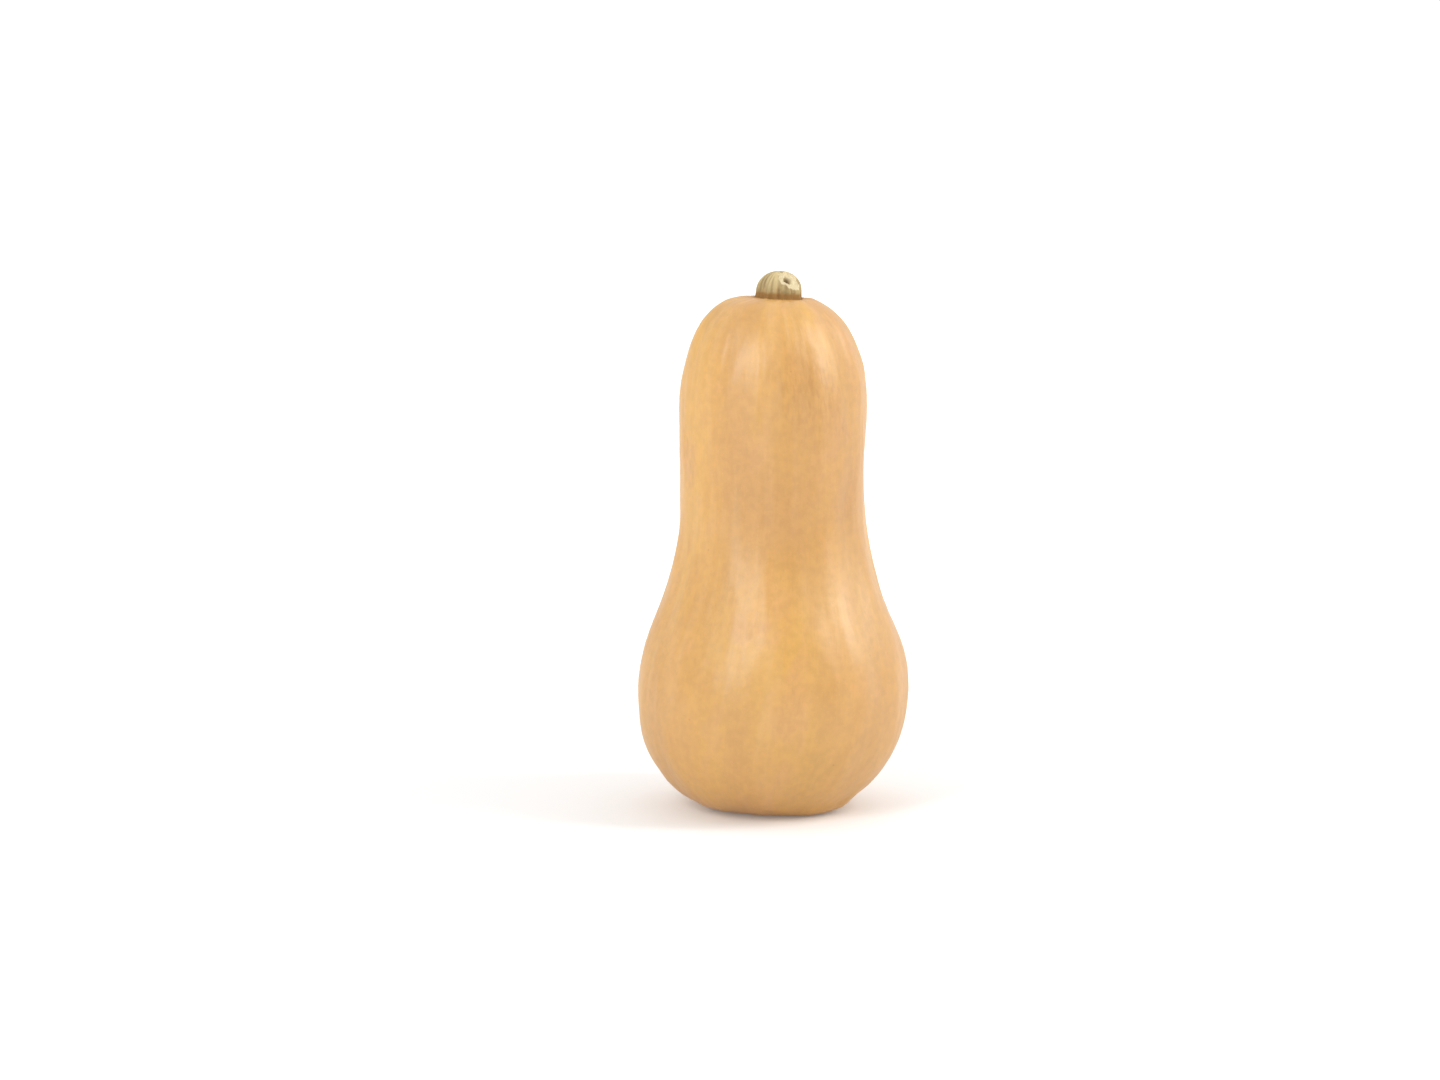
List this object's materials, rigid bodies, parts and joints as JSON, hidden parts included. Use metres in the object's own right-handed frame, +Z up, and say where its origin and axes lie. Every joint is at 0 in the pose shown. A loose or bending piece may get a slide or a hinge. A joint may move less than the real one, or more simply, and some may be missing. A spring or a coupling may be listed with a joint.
{
  "type": "butternut pumpkin",
  "caption": "Whole pear-shaped butternut pumpkin with a straight neck, a round belly and a short woody stem stub; it stands on a small flat spot at its blossom end.",
  "frame": {"origin": "middle of the bounding box's base, on the surface that the pumpkin stands on", "axes": "+Z up from the blossom end to the stem, -Y towards the front, with the stem's broken face and pith hole turned to the front right"},
  "size_m": [0.1252, 0.124, 0.2471],
  "materials": {
    "skin": "satin",
    "stem": "matte"
  },
  "bodies": {
    "root": {"fruit": "skin", "stem": "stem"}
  },
  "joints": []
}
